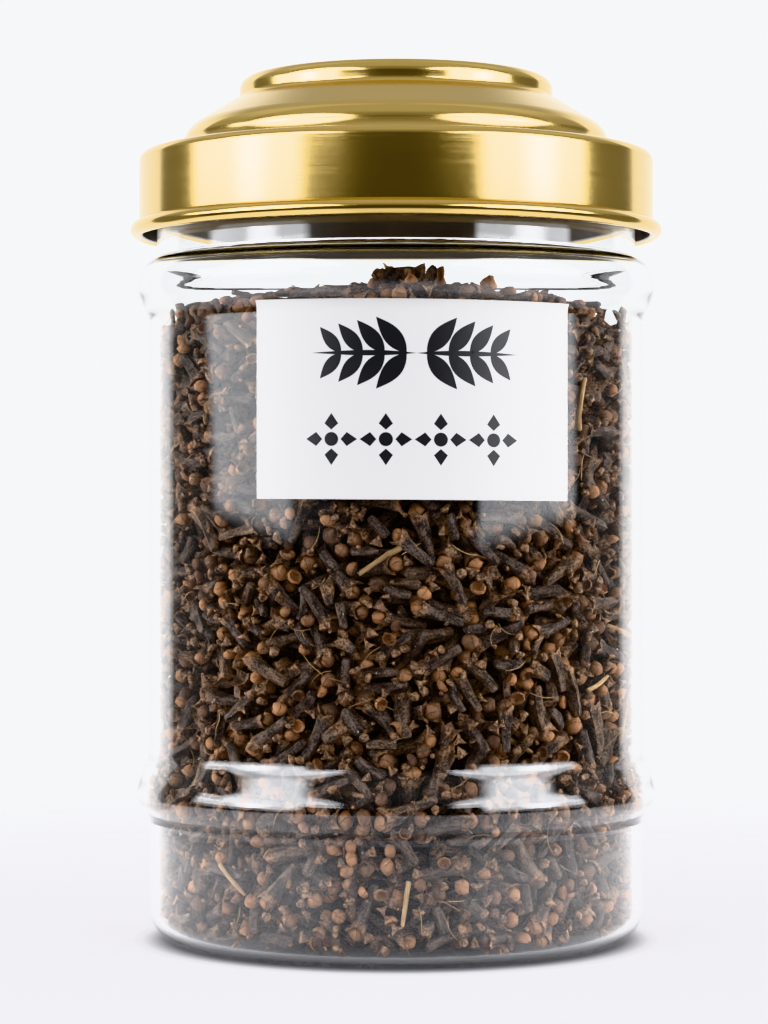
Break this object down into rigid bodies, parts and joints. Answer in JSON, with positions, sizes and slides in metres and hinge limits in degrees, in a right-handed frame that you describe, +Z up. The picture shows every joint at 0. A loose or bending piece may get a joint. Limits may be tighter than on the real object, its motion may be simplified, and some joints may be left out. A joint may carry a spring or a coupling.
{
  "type": "jar of whole cloves",
  "caption": "Round clear glass jar with bulging rings, a stepped gold metal lid and a white paper label, filled with whole cloves.",
  "frame": {"origin": "centre of the jar's foot, on the surface it stands on", "axes": "+Z up along the jar's axis, -Y towards the viewer, the side that carries the label"},
  "size_m": [0.127, 0.127, 0.2054],
  "materials": {
    "jar": "clear, smooth",
    "lid": "gold coloured, brushed on the band and polished on the dome",
    "label": "white paper with dark print",
    "cloves": "dry, rough, dark brown with lighter buds"
  },
  "bodies": {
    "root": {"jar": "jar", "lid": "lid", "label": "label", "clove_heap": "cloves"}
  },
  "joints": []
}
